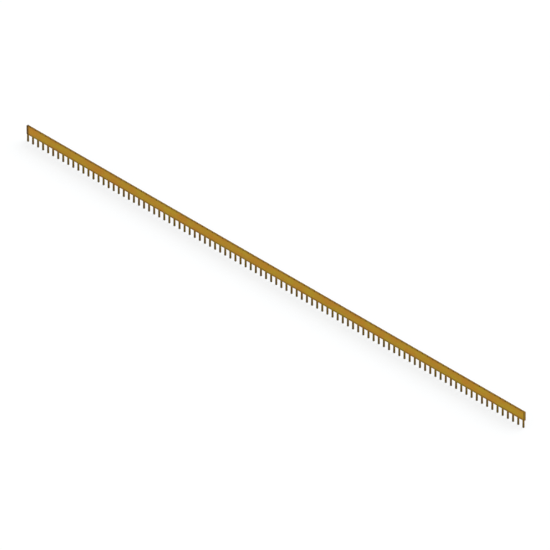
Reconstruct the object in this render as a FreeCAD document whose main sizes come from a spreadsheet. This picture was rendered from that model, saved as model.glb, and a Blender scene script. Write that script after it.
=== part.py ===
"""Comb rack: a brass back bar with ninety-eight straight blade teeth of darker metal.

Frame: X runs along the rack, +Y is the way the back face looks, +Z is away from the teeth.
The origin is the middle of the bar's flat back face, which seats on the carriage or frame that the
rack is fastened to. Millimetres throughout.
"""
import FreeCAD, Part

import math
import os

import Sketcher

from FreeCAD import Vector

TOOTH_COUNT = 98
TEETH_PER_NODE = 2
NODE_COUNT = TOOTH_COUNT // TEETH_PER_NODE

ALONG_Y = 0.99              # share of an edge's direction that makes it count as running along Y
LEVEL_TOLERANCE = 0.001     # mm
VOLUME_TOLERANCE = 0.001    # as a share of the volume

document = FreeCAD.newDocument("comb_rack")


# ---------------------------------------------------------------- driving dimensions

DRIVING = {
    "tooth_count": TOOTH_COUNT,
    "teeth_per_node": TEETH_PER_NODE,
    "pitch": 5.0,             # from one tooth to the next, along X
    "bar_thickness": 1.6,     # along Y
    "bar_height": 7.2,        # back bar alone, along Z
    "bar_overhang": 0.45,     # of the bar past the first and the last tooth
    "tooth_width": 1.3,       # along X
    "tooth_thickness": 0.9,   # along Y, flush with the bar's front face
    "tooth_length": 6.0,      # below the bar's lower edge
    "tip_radius": 0.2,        # rounding of a tooth's two tip corners
    "tang_width": 0.6,        # tang on each tooth, pressed up into the bar
    "tang_thickness": 0.45,   # the rear half of the blade
    "tang_length": 1.6,
    "mark_width": 0.9,        # pitch mark cut across the top edge, between teeth
    "mark_depth": 0.3,
}

DERIVED = {
    "row_length": "=(tooth_count - 1) * pitch",
    "bar_length": "=row_length + tooth_width + 2 * bar_overhang",
    "mark_count": "=tooth_count - 1",
    "step_behind_tooth": "=bar_thickness - tooth_thickness",
}


def make_sheet():
    """The spreadsheet that every size is read from: one named row per dimension."""
    sheet = document.addObject("Spreadsheet::Sheet", "Dims")
    rows = list(DRIVING.items()) + list(DERIVED.items())
    for row, (alias, value) in enumerate(rows, start=1):
        sheet.set(f"A{row}", alias)
        sheet.set(f"B{row}", str(value))
        sheet.setAlias(f"B{row}", alias)
    document.recompute()
    return sheet


# ---------------------------------------------------------------- helpers for bodies

def new_body(label):
    body = document.addObject("PartDesign::Body", label)
    body.Label = label
    return body


def origin_feature(body, role):
    return next(item for item in body.Origin.OriginFeatures if item.Role == role)


def new_sketch(body, name, role="XZ_Plane"):
    """A sketch on one of the body's own origin planes. On XZ its normal looks along -Y."""
    sketch = body.newObject("Sketcher::SketchObject", name)
    sketch.AttachmentSupport = (origin_feature(body, role), "")
    sketch.MapMode = "FlatFace"
    return sketch


def dimension(sketch, kind, where, expression):
    """One driving constraint, given by an expression on the sheet."""
    index = sketch.addConstraint(Sketcher.Constraint(kind, *where, 1.0))
    sketch.setExpression(f"Constraints[{index}]", expression)


def rectangle(sketch, left, bottom, width, height):
    """A rectangle whose place and size are sheet expressions, in the sketch's own axes."""
    corners = [Vector(0, 0, 0), Vector(1, 0, 0), Vector(1, 1, 0), Vector(0, 1, 0)]
    for index in range(4):
        sketch.addGeometry(Part.LineSegment(corners[index], corners[(index + 1) % 4]), False)
    for index in range(4):
        sketch.addConstraint(Sketcher.Constraint("Coincident", index, 2, (index + 1) % 4, 1))
    for index, kind in enumerate(("Horizontal", "Vertical", "Horizontal", "Vertical")):
        sketch.addConstraint(Sketcher.Constraint(kind, index))
    dimension(sketch, "DistanceX", (-1, 1, 0, 1), left)
    dimension(sketch, "DistanceY", (-1, 1, 0, 1), bottom)
    dimension(sketch, "DistanceX", (0, 1, 0, 2), width)
    dimension(sketch, "DistanceY", (1, 1, 1, 2), height)


def pad(body, name, sketch, length):
    """A pad along the sketch's normal: towards -Y from XZ, upwards from XY."""
    feature = body.newObject("PartDesign::Pad", name)
    feature.Profile = sketch
    feature.setExpression("Length", length)
    return feature


def pocket(body, name, sketch, length=None):
    """A pocket towards the sketch's normal, through everything where no length is given."""
    feature = body.newObject("PartDesign::Pocket", name)
    feature.Profile = sketch
    feature.Reversed = True
    if length is None:
        feature.Type = "ThroughAll"
    else:
        feature.setExpression("Length", length)
    return feature


def repeat(body, name, features, count):
    """A linear pattern along X at the rack's pitch, which becomes the body's tip."""
    pattern = body.newObject("PartDesign::LinearPattern", name)
    pattern.Originals = features
    pattern.Direction = (origin_feature(body, "X_Axis"), [""])
    pattern.Mode = "Spacing"
    pattern.setExpression("Offset", "Dims.pitch")
    pattern.setExpression("Occurrences", count)
    body.Tip = pattern
    return pattern


# ---------------------------------------------------------------- the back bar

def make_back_bar():
    """Flat bar with blind mortises in its lower edge and pitch marks across its top edge."""
    bar = new_body("back_bar")
    outline = new_sketch(bar, "bar_outline")
    rectangle(
        outline,
        "-Dims.bar_length / 2",
        "-Dims.bar_height / 2",
        "Dims.bar_length",
        "Dims.bar_height",
    )
    pad(bar, "bar_blank", outline, "Dims.bar_thickness")

    mortise_outline = new_sketch(bar, "mortise_outline", "XY_Plane")
    mortise_outline.setExpression("AttachmentOffset.Base.z", "-Dims.bar_height / 2")
    rectangle(
        mortise_outline,
        "-(Dims.row_length + Dims.tang_width) / 2",
        "-Dims.step_behind_tooth - Dims.tang_thickness",
        "Dims.tang_width",
        "Dims.tang_thickness",
    )
    mortise = pocket(bar, "mortise", mortise_outline, "Dims.tang_length")
    repeat(bar, "mortises", [mortise], "Dims.tooth_count")

    mark_outline = new_sketch(bar, "pitch_mark_outline")
    draw_mark(mark_outline)
    mark = pocket(bar, "pitch_mark", mark_outline)
    repeat(bar, "pitch_marks", [mark], "Dims.mark_count")
    return bar


def draw_mark(sketch):
    """A shallow V over the first gap, open at the bar's top edge."""
    for start, end in (((0, 0), (2, 0)), ((2, 0), (1, -1)), ((1, -1), (0, 0))):
        sketch.addGeometry(Part.LineSegment(Vector(*start, 0), Vector(*end, 0)), False)
    for index in range(3):
        sketch.addConstraint(Sketcher.Constraint("Coincident", index, 2, (index + 1) % 3, 1))
    sketch.addConstraint(Sketcher.Constraint("Horizontal", 0))
    sketch.addConstraint(Sketcher.Constraint("Equal", 1, 2))
    dimension(sketch, "DistanceX", (-1, 1, 1, 2), "(Dims.pitch - Dims.row_length) / 2")
    dimension(sketch, "DistanceY", (-1, 1, 0, 1), "Dims.bar_height / 2")
    dimension(sketch, "DistanceX", (0, 1, 0, 2), "Dims.mark_width")
    dimension(sketch, "DistanceY", (1, 2, 0, 2), "Dims.mark_depth")


# ---------------------------------------------------------------- the teeth

def round_tips(body, name, base):
    """Fillets on a blade's two tip corners, the lowest edges that run across its thickness."""
    document.recompute()
    lowest = base.Shape.BoundBox.ZMin
    corners = []
    for index, edge in enumerate(base.Shape.Edges, start=1):
        along_y = abs(edge.tangentAt(edge.FirstParameter).y) > ALONG_Y
        if along_y and edge.BoundBox.ZMax < lowest + LEVEL_TOLERANCE:
            corners.append(f"Edge{index}")
    fillet = body.newObject("PartDesign::Fillet", name)
    fillet.Base = (base, corners)
    fillet.setExpression("Radius", "Dims.tip_radius")
    return fillet


def make_teeth(number):
    """Neighbouring blade teeth, each a solid of its own with a tang up into the bar.

    They are drawn with the first tooth's centre line and back face at the body's origin, and the
    shoulder that meets the bar's lower edge at its level.
    """
    teeth = new_body(f"teeth_{number:02d}")
    teeth.AllowCompound = True
    outline = new_sketch(teeth, f"blade_outline_{number:02d}")
    rectangle(
        outline,
        "-Dims.tooth_width / 2",
        "-Dims.tooth_length",
        "Dims.tooth_width",
        "Dims.tooth_length",
    )
    blade = pad(teeth, f"blade_{number:02d}", outline, "Dims.tooth_thickness")

    tang_outline = new_sketch(teeth, f"tang_outline_{number:02d}", "XY_Plane")
    rectangle(
        tang_outline,
        "-Dims.tang_width / 2",
        "-Dims.tang_thickness",
        "Dims.tang_width",
        "Dims.tang_thickness",
    )
    tang = pad(teeth, f"tang_{number:02d}", tang_outline, "Dims.tang_length")
    tips = round_tips(teeth, f"tips_{number:02d}", tang)
    repeat(teeth, f"row_{number:02d}", [blade, tang, tips], "Dims.teeth_per_node")

    first = f"{number - 1} * Dims.teeth_per_node * Dims.pitch - Dims.row_length / 2"
    teeth.setExpression("Placement.Base.x", first)
    teeth.setExpression("Placement.Base.y", "-Dims.step_behind_tooth")
    teeth.setExpression("Placement.Base.z", "-Dims.bar_height / 2")
    return teeth


# ---------------------------------------------------------------- check and write

def check_features(sub_parts):
    for item in document.Objects:
        failed = [state for state in item.State if state in ("Invalid", "Error")]
        if failed:
            raise RuntimeError(f"{item.Label}: {failed}")
    for item in sub_parts:
        if item.Shape.isNull() or not item.Shape.isValid():
            raise RuntimeError(f"{item.Label}: its shape is null or not valid")


def check_volume(item, solids, expected):
    """A pocket or a pattern that did nothing shows up as a wrong volume or number of solids."""
    found = len(item.Shape.Solids)
    volume = item.Shape.Volume
    if found != solids or abs(volume - expected) > VOLUME_TOLERANCE * expected:
        raise RuntimeError(f"{item.Label}: {found} solids, {volume:.3f}, not {expected:.3f} mm3")


def expected_volumes(sheet):
    """Volumes of the bar and of one tooth, worked out by hand from the sheet's sizes."""
    tang = sheet.tang_width * sheet.tang_thickness * sheet.tang_length
    mark = sheet.mark_width * sheet.mark_depth * sheet.bar_thickness / 2
    blank = sheet.bar_length * sheet.bar_height * sheet.bar_thickness
    bar = blank - sheet.tooth_count * tang - sheet.mark_count * mark
    corner = (1 - math.pi / 4) * sheet.tip_radius**2 * sheet.tooth_thickness
    tooth = sheet.tooth_width * sheet.tooth_thickness * sheet.tooth_length - 2 * corner + tang
    return bar, tooth


sheet = make_sheet()
back_bar = make_back_bar()
tooth_nodes = [make_teeth(number) for number in range(1, NODE_COUNT + 1)]
sub_parts = [back_bar] + tooth_nodes
document.recompute()

check_features(sub_parts)
bar_volume, tooth_volume = expected_volumes(sheet)
check_volume(back_bar, 1, bar_volume)
for teeth in tooth_nodes:
    check_volume(teeth, TEETH_PER_NODE, TEETH_PER_NODE * tooth_volume)

os.makedirs("parts", exist_ok=True)
for item in sub_parts:
    item.Shape.exportStep(f"parts/{item.Label}.step")
print(f"{len(sub_parts)} nodes, bar {sheet.bar_length:.2f} mm long, tooth volume {tooth_volume:.3f} mm3")
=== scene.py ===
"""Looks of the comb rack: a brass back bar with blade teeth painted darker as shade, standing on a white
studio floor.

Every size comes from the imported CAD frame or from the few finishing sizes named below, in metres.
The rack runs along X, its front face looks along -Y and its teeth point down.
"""
import math

import bmesh
import bpy

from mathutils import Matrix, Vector


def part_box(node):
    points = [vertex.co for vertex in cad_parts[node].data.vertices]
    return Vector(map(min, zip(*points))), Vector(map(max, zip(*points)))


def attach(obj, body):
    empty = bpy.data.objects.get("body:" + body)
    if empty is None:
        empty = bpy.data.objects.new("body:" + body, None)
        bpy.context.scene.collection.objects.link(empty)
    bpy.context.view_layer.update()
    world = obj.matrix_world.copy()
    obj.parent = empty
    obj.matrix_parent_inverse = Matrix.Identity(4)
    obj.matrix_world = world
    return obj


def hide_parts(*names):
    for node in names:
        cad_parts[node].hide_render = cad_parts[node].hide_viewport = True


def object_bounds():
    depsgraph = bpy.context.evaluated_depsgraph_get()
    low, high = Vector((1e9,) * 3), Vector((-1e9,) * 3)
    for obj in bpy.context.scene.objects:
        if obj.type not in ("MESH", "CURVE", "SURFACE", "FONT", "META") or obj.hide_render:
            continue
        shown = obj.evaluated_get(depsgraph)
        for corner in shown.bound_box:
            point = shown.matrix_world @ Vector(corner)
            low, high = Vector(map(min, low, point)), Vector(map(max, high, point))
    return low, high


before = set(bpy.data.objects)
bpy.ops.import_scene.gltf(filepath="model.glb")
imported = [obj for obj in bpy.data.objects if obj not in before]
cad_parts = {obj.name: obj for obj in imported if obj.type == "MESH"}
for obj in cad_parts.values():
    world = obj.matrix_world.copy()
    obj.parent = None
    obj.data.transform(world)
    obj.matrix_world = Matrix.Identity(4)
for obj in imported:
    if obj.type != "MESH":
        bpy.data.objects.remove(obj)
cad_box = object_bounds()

MM = 0.001
WHITE = (1.0, 1.0, 1.0)

# Finishing sizes that the CAD boxes don't give.
TEETH_PER_NODE = 2
TOOTH_WIDTH = 1.3 * MM
TIP_RADIUS = 0.2 * MM
TIP_STEPS = 5              # straight pieces in the rounding of each tip corner
MARK_WIDTH = 0.9 * MM
MARK_DEPTH = 0.3 * MM
BAR_BREAK = 0.12 * MM      # width of the small bevels along the bar's edges
TOOTH_BREAK = 0.07 * MM    # the same on the teeth
BREAK_STEPS = 2            # faces across one of those bevels

# How far the painted shade on the bar's faces reaches in from each of its edges, and the share of
# the clean metal's colour that it takes away at its darkest.
LEFT_SHADE_REACH = 2.8 * MM
LEFT_DARKNESS = 0.8
LEFT_RIM_DARKNESS = 0.6    # the same painted shade on the bar's narrow sides
RIGHT_SHADE_REACH = 1.2 * MM
RIGHT_DARKNESS = 0.6
LOWER_SHADE_REACH = 1.9 * MM
LOWER_DARKNESS = 0.42
UPPER_SHADE_REACH = 0.4 * MM
UPPER_DARKNESS = 0.4
TIP_DARKNESS = 0.35        # painted shade at the tips of the teeth, from where it fades out up to the bar
FULL_SHADE_FROM = 0.6      # share of the way out to the edge from which a painted shade is at its darkest

# Noise patterns: scale per metre along X, Y and Z, detail and roughness.
DRAWING_LINES = ((45.0, 2600.0, 2600.0), 3.0, 0.6)
PATINA_CLOUDS = ((90.0, 180.0, 180.0), 4.0, 0.55)
LINES_RANGE = (0.30, 0.70)     # noise values at which the lines are darkest and lightest
CLOUDS_RANGE = (0.35, 0.65)    # noise values at which the patina is most reddish and most olive
SMOOTHER = 0.07                # how far the lines lower the roughness at most
ROUGHER = 0.09                 # how far they raise it
LINES_HEIGHT = 0.01 * MM
LINES_STRENGTH = 0.35

# Sockets of a Mix node that mixes colours. They share their names with its other kinds of data.
COLOR_A = 6
COLOR_B = 7
COLOR_RESULT = 2

# The camera looks down an isometric diagonal, in degrees, through a very long lens, in millimetres.
VIEW_AZIMUTH = 45.0
VIEW_ELEVATION = 35.264
LENS = 1600.0
SENSOR = 36.0
NEAR_CLIP = 0.5            # as shares of the camera's distance
FAR_CLIP = 2.0

# Share of the frame's width that the rack fills, and where its middle lies from the frame's centre,
# as shares of that width.
SPAN_SHARE = 0.9079
SHIFT_RIGHT = -0.0017
SHIFT_UP = -0.0004

# The floor glows by itself, so that the rack's shadow on it stays faint.
FLOOR_SIZE = 8.0
FLOOR_GAP = 0.02 * MM      # between the floor and the tips of the teeth
FLOOR_COLOR = (0.30, 0.30, 0.30)
FLOOR_GLOW_COLOR = (0.985, 1.0, 1.012)
FLOOR_GLOW = 0.635

WORLD_STRENGTH = 1.02
SUN_STRENGTH = 1.2
SUN_ANGLE = 60.0           # degrees across, which makes it soft
SUN_TOWARD = (0.25, 0.65, 0.80)    # behind the rack, on its right and above

BAR_LOW, BAR_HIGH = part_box("back_bar")
TOOTH_NODES = sorted(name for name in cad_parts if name.startswith("teeth_"))
FIRST_LOW, FIRST_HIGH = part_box(TOOTH_NODES[0])
PITCH = (FIRST_HIGH.x - FIRST_LOW.x - TOOTH_WIDTH) / (TEETH_PER_NODE - 1)
FIRST_TOOTH = FIRST_LOW.x + TOOTH_WIDTH / 2
TIP_LEVEL = FIRST_LOW.z
ROOT_LEVEL = BAR_LOW.z


# ---------------------------------------------------------------- node helpers

class Shader:
    """A small wrapper that adds nodes to one material and links their sockets."""

    def __init__(self, name):
        self.material = bpy.data.materials.new(name)
        self.material.use_nodes = True
        self.nodes = self.material.node_tree.nodes
        self.links = self.material.node_tree.links
        self.bsdf = self.nodes["Principled BSDF"]

    def add(self, kind, **values):
        node = self.nodes.new(kind)
        for key, value in values.items():
            setattr(node, key, value)
        return node

    def link(self, source, target):
        self.links.new(source, target)

    def noise(self, pattern):
        """Noise in object space whose grain has its own size along X, Y and Z."""
        scale, detail, roughness = pattern
        place = self.add("ShaderNodeTexCoord")
        mapping = self.add("ShaderNodeMapping")
        mapping.inputs["Scale"].default_value = scale
        noise = self.add("ShaderNodeTexNoise")
        noise.inputs["Scale"].default_value = 1.0
        noise.inputs["Detail"].default_value = detail
        noise.inputs["Roughness"].default_value = roughness
        self.link(place.outputs["Object"], mapping.inputs["Vector"])
        self.link(mapping.outputs["Vector"], noise.inputs["Vector"])
        return noise.outputs["Fac"]

    def ramp(self, factor, stops):
        """Turns a factor into a colour, by stops of (position, colour)."""
        ramp = self.add("ShaderNodeValToRGB")
        elements = ramp.color_ramp.elements
        while len(elements) < len(stops):
            elements.new(0.5)
        for element, (position, color) in zip(elements, stops):
            element.position = position
            element.color = (*color, 1.0)
        self.link(factor, ramp.inputs["Fac"])
        return ramp.outputs["Color"]

    def multiply(self, first, second):
        """The product of two colours."""
        mix = self.add("ShaderNodeMix", data_type="RGBA", blend_type="MULTIPLY")
        mix.inputs["Factor"].default_value = 1.0
        self.link(first, mix.inputs[COLOR_A])
        self.link(second, mix.inputs[COLOR_B])
        return mix.outputs[COLOR_RESULT]

    def spread(self, factor, low, high):
        """Maps a factor from 0..1 to low..high."""
        spread = self.add("ShaderNodeMapRange")
        spread.inputs["To Min"].default_value = low
        spread.inputs["To Max"].default_value = high
        self.link(factor, spread.inputs["Value"])
        return spread.outputs["Result"]

    def painted_shade(self, axis, edge, inner, depth):
        """Painted shade as a grey to multiply by: 1 up to the inner level, and less by depth at the
        edge's level.
        """
        place = self.add("ShaderNodeTexCoord")
        split = self.add("ShaderNodeSeparateXYZ")
        reach = self.add("ShaderNodeMapRange")
        reach.inputs["From Min"].default_value = inner
        reach.inputs["From Max"].default_value = edge
        self.link(place.outputs["Object"], split.inputs["Vector"])
        self.link(split.outputs[axis], reach.inputs["Value"])
        return self.ramp(reach.outputs["Result"], [(0.0, WHITE), (FULL_SHADE_FROM, grey(1.0 - depth))])

    def bump(self, height, distance, strength):
        """Raises the surface by a height pattern, in the shading only."""
        bump = self.add("ShaderNodeBump")
        bump.inputs["Distance"].default_value = distance
        bump.inputs["Strength"].default_value = strength
        self.link(height, bump.inputs["Height"])
        self.link(bump.outputs["Normal"], self.bsdf.inputs["Normal"])


def grey(level):
    return (level, level, level)


def metal(name, color, roughness, grain, blotch, painted_shades=()):
    """Rolled metal: long drawing lines along X, cloudy patina and a roughness that follows the lines.

    grain is how much the drawing lines darken the colour. blotch is how much the patina changes
    it, from reddish and dark to olive and light. Each painted shade is (axis, level of the edge it
    starts from, level where it ends, how much darker it is at the edge).
    """
    shader = Shader(name)
    shader.bsdf.inputs["Metallic"].default_value = 1.0
    lines = shader.noise(DRAWING_LINES)
    clouds = shader.noise(PATINA_CLOUDS)
    red, green, blue = color
    reddish = (red, green * (1.0 - blotch), blue)
    olive = (red * (1.0 - blotch / 3), green * (1.0 + blotch / 2), blue)
    cloud_color = shader.ramp(clouds, list(zip(CLOUDS_RANGE, (reddish, olive))))
    line_color = shader.ramp(lines, list(zip(LINES_RANGE, (grey(1.0 - grain), WHITE))))
    base_color = shader.multiply(cloud_color, line_color)
    for axis, edge, inner, depth in painted_shades:
        base_color = shader.multiply(base_color, shader.painted_shade(axis, edge, inner, depth))
    surface_roughness = shader.spread(lines, roughness - SMOOTHER, roughness + ROUGHER)
    shader.link(base_color, shader.bsdf.inputs["Base Color"])
    shader.link(surface_roughness, shader.bsdf.inputs["Roughness"])
    shader.bump(lines, LINES_HEIGHT, LINES_STRENGTH)
    return shader.material


BRASS = (0.472, 0.253, 0.011)
# Painted shade: a darker copy of the brass for the bar's narrow sides, ends and rims, where the same
# metal would only lie in shade.
BRASS_SHADED_EDGE = (0.27, 0.145, 0.010)
# Painted shade: a much darker copy of the brass for the slopes of the notches along the top.
BRASS_SHADED_NOTCH = (0.12, 0.063, 0.005)
# Painted shade: the teeth are brass like the bar, coloured much darker as if in shade. Their narrow sides
# are a little less dark than their fronts.
SHADED_TOOTH = (0.185, 0.107, 0.003)
SHADED_TOOTH_SIDE = (0.240, 0.139, 0.004)

# Painted shade: darker towards the bar's two ends, its lower edge over the teeth and its top edge, and on
# the narrow sides towards the left end.
FACE_PAINTED_SHADES = (
    ("X", BAR_LOW.x, BAR_LOW.x + LEFT_SHADE_REACH, LEFT_DARKNESS),
    ("X", BAR_HIGH.x, BAR_HIGH.x - RIGHT_SHADE_REACH, RIGHT_DARKNESS),
    ("Z", ROOT_LEVEL, ROOT_LEVEL + LOWER_SHADE_REACH, LOWER_DARKNESS),
    ("Z", BAR_HIGH.z, BAR_HIGH.z - UPPER_SHADE_REACH, UPPER_DARKNESS),
)
EDGE_PAINTED_SHADES = (("X", BAR_LOW.x, BAR_LOW.x + LEFT_SHADE_REACH, LEFT_RIM_DARKNESS),)
# Painted shade: darker towards the tips of the teeth, next to the floor.
TIP_PAINTED_SHADES = (("Z", TIP_LEVEL, ROOT_LEVEL, TIP_DARKNESS),)

brass_face = metal("brass_face", BRASS, roughness=0.36, grain=0.12, blotch=0.17, painted_shades=FACE_PAINTED_SHADES)
brass_shaded_edge = metal(
    "brass_edge_painted_shade", BRASS_SHADED_EDGE, roughness=0.42, grain=0.15, blotch=0.12, painted_shades=EDGE_PAINTED_SHADES
)
brass_shaded_notch = metal("brass_shaded_notch", BRASS_SHADED_NOTCH, roughness=0.6, grain=0.10, blotch=0.10)
tooth_face_shaded = metal("tooth_painted_shade", SHADED_TOOTH, roughness=0.40, grain=0.12, blotch=0.12, painted_shades=TIP_PAINTED_SHADES)
tooth_side_shaded = metal(
    "tooth_side_painted_shade", SHADED_TOOTH_SIDE, roughness=0.42, grain=0.12, blotch=0.12, painted_shades=TIP_PAINTED_SHADES
)


# ---------------------------------------------------------------- mesh pieces

def finish_piece(mesh_work, name, materials, replaced):
    """Turns a bmesh into a piece that stands for its CAD node and rides on the rack's one body."""
    bmesh.ops.recalc_face_normals(mesh_work, faces=mesh_work.faces)
    mesh = bpy.data.meshes.new(name)
    mesh_work.to_mesh(mesh)
    mesh_work.free()
    for material in materials:
        mesh.materials.append(material)
    piece = bpy.data.objects.new(name, mesh)
    bpy.context.scene.collection.objects.link(piece)
    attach(piece, "root")
    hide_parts(replaced)


def break_edges(mesh_work, edges, width, material_index):
    """A small round bevel, as a file or a tumbling barrel leaves it."""
    bmesh.ops.bevel(
        mesh_work,
        geom=list(edges),
        offset=width,
        offset_type="OFFSET",
        segments=BREAK_STEPS,
        profile=0.5,
        affect="EDGES",
        clamp_overlap=True,
        material=material_index,
    )


def blade_outline(centre, width, bottom, top):
    """Corner points of a blade in XZ: square on top, with two rounded tip corners."""
    left, right = centre - width / 2, centre + width / 2
    points = [(left, top), (right, top)]
    # Each corner is a quarter turn clockwise: the right one from its outer side, the left one from below.
    for middle, start in ((right - TIP_RADIUS, 0.0), (left + TIP_RADIUS, -90.0)):
        for step in range(TIP_STEPS + 1):
            angle = math.radians(start - 90.0 * step / TIP_STEPS)
            across = middle + TIP_RADIUS * math.cos(angle)
            points.append((across, bottom + TIP_RADIUS + TIP_RADIUS * math.sin(angle)))
    return points


def add_blade(mesh_work, outline, front_level, back_level):
    """A flat plate of that outline with broken rims. Its narrow sides take the second material."""
    narrow_side = 1
    front = [mesh_work.verts.new((x, front_level, z)) for x, z in outline]
    back = [mesh_work.verts.new((x, back_level, z)) for x, z in outline]
    count = len(outline)
    rims = []
    mesh_work.faces.new(front)
    mesh_work.faces.new(list(reversed(back)))
    for index in range(count):
        following = (index + 1) % count
        side = mesh_work.faces.new((front[index], back[index], back[following], front[following]))
        side.material_index = narrow_side
    for ring in (front, back):
        rims += [mesh_work.edges.get((ring[index], ring[(index + 1) % count])) for index in range(count)]
    break_edges(mesh_work, rims, TOOTH_BREAK, narrow_side)


def make_teeth(node):
    """The neighbouring teeth of one CAD node, each a blade that ends at the bar's lower face."""
    low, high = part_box(node)
    work = bmesh.new()
    for number in range(TEETH_PER_NODE):
        centre = low.x + TOOTH_WIDTH / 2 + number * PITCH
        outline = blade_outline(centre, TOOTH_WIDTH, TIP_LEVEL, ROOT_LEVEL)
        add_blade(work, outline, low.y, high.y)
    finish_piece(work, node + "_blades", [tooth_face_shaded, tooth_side_shaded], node)


def bar_columns():
    """(x, height of the top edge) along the bar, with a V over each gap between teeth."""
    top = BAR_HIGH.z
    columns = [(BAR_LOW.x, top)]
    for gap in range(TEETH_PER_NODE * len(TOOTH_NODES) - 1):
        centre = FIRST_TOOTH + (gap + 0.5) * PITCH
        columns.append((centre - MARK_WIDTH / 2, top))
        columns.append((centre, top - MARK_DEPTH))
        columns.append((centre + MARK_WIDTH / 2, top))
    columns.append((BAR_HIGH.x, top))
    return columns


def make_bar():
    """The back bar: plain faces, narrow sides and rims painted darker as shade, and a row of shallow
    notches along the top whose slopes are painted darker still as shade.
    """
    face, edge, notch_shade = range(3)
    front_side, top_side, back_side, bottom_side = range(4)
    front, back = BAR_LOW.y, BAR_HIGH.y
    work = bmesh.new()
    rings = []
    for x, top in bar_columns():
        corners = ((front, ROOT_LEVEL), (front, top), (back, top), (back, ROOT_LEVEL))
        rings.append([work.verts.new((x, y, z)) for y, z in corners])
    rims = []
    for here, following in zip(rings, rings[1:]):
        slope = abs(here[top_side].co.z - following[top_side].co.z)
        for side in (front_side, top_side, back_side, bottom_side):
            other = (side + 1) % len(here)
            made = work.faces.new((here[side], here[other], following[other], following[side]))
            # The narrow sides take the brass that is painted darker as shade.
            made.material_index = face if side in (front_side, back_side) else edge
            # The notches' slopes take the brass that is painted darker still, as shade in the notch.
            if side == top_side and slope > MARK_DEPTH / 2:
                made.material_index = notch_shade
        rims += [work.edges.get(corner_pair) for corner_pair in zip(here, following)]
    for ring in (rings[0], rings[-1]):
        end_face = work.faces.new(ring)
        end_face.material_index = edge
        rims += end_face.edges
    break_edges(work, rims, BAR_BREAK, edge)
    finish_piece(work, "bar", [brass_face, brass_shaded_edge, brass_shaded_notch], "back_bar")


make_bar()
for node in TOOTH_NODES:
    make_teeth(node)


# ---------------------------------------------------------------- studio

def make_floor():
    """A plain pale floor just under the tips of the teeth."""
    bpy.ops.mesh.primitive_plane_add(size=FLOOR_SIZE, location=(0, 0, TIP_LEVEL - FLOOR_GAP))
    floor = bpy.context.object
    floor.name = "floor"
    shader = Shader("floor_paper")
    shader.bsdf.inputs["Base Color"].default_value = (*FLOOR_COLOR, 1.0)
    shader.bsdf.inputs["Emission Color"].default_value = (*FLOOR_GLOW_COLOR, 1.0)
    shader.bsdf.inputs["Emission Strength"].default_value = FLOOR_GLOW
    shader.bsdf.inputs["Roughness"].default_value = 1.0
    shader.bsdf.inputs["Specular IOR Level"].default_value = 0.0
    floor.data.materials.append(shader.material)


def make_world():
    """Even white light from all around."""
    world = bpy.data.worlds.new("studio")
    world.use_nodes = True
    background = world.node_tree.nodes["Background"]
    background.inputs["Color"].default_value = (*WHITE, 1.0)
    background.inputs["Strength"].default_value = WORLD_STRENGTH
    bpy.context.scene.world = world


def make_sun():
    """One wide soft light from behind, which lays the rack's shadow in front of it."""
    lamp = bpy.data.lights.new("key", "SUN")
    lamp.energy = SUN_STRENGTH
    lamp.angle = math.radians(SUN_ANGLE)
    sun = bpy.data.objects.new("key", lamp)
    sun.rotation_mode = "QUATERNION"
    sun.rotation_quaternion = Vector(SUN_TOWARD).to_track_quat("Z", "Y")
    bpy.context.scene.collection.objects.link(sun)


def make_camera():
    """Aimed at the middle of the rack, from far enough that both ends keep the same scale."""
    low, high = cad_box
    azimuth, elevation = math.radians(VIEW_AZIMUTH), math.radians(VIEW_ELEVATION)
    level = math.cos(elevation)
    toward = Vector((math.sin(azimuth) * level, -math.cos(azimuth) * level, math.sin(elevation)))
    span = (high.x - low.x) * math.cos(azimuth) + (high.y - low.y) * math.sin(azimuth)
    frame_width = span / SPAN_SHARE
    distance = frame_width * LENS / SENSOR
    data = bpy.data.cameras.new("camera")
    data.lens = LENS
    data.sensor_width = SENSOR
    data.clip_start = distance * NEAR_CLIP
    data.clip_end = distance * FAR_CLIP
    camera = bpy.data.objects.new("camera", data)
    camera.rotation_mode = "QUATERNION"
    camera.rotation_quaternion = toward.to_track_quat("Z", "Y")
    slide = Vector((-SHIFT_RIGHT * frame_width, -SHIFT_UP * frame_width, 0.0))
    middle = (low + high) / 2
    camera.location = middle + toward * distance + camera.rotation_quaternion @ slide
    bpy.context.scene.collection.objects.link(camera)
    bpy.context.scene.camera = camera


make_floor()
make_world()
make_sun()
make_camera()
bpy.context.scene.view_settings.view_transform = "Standard"
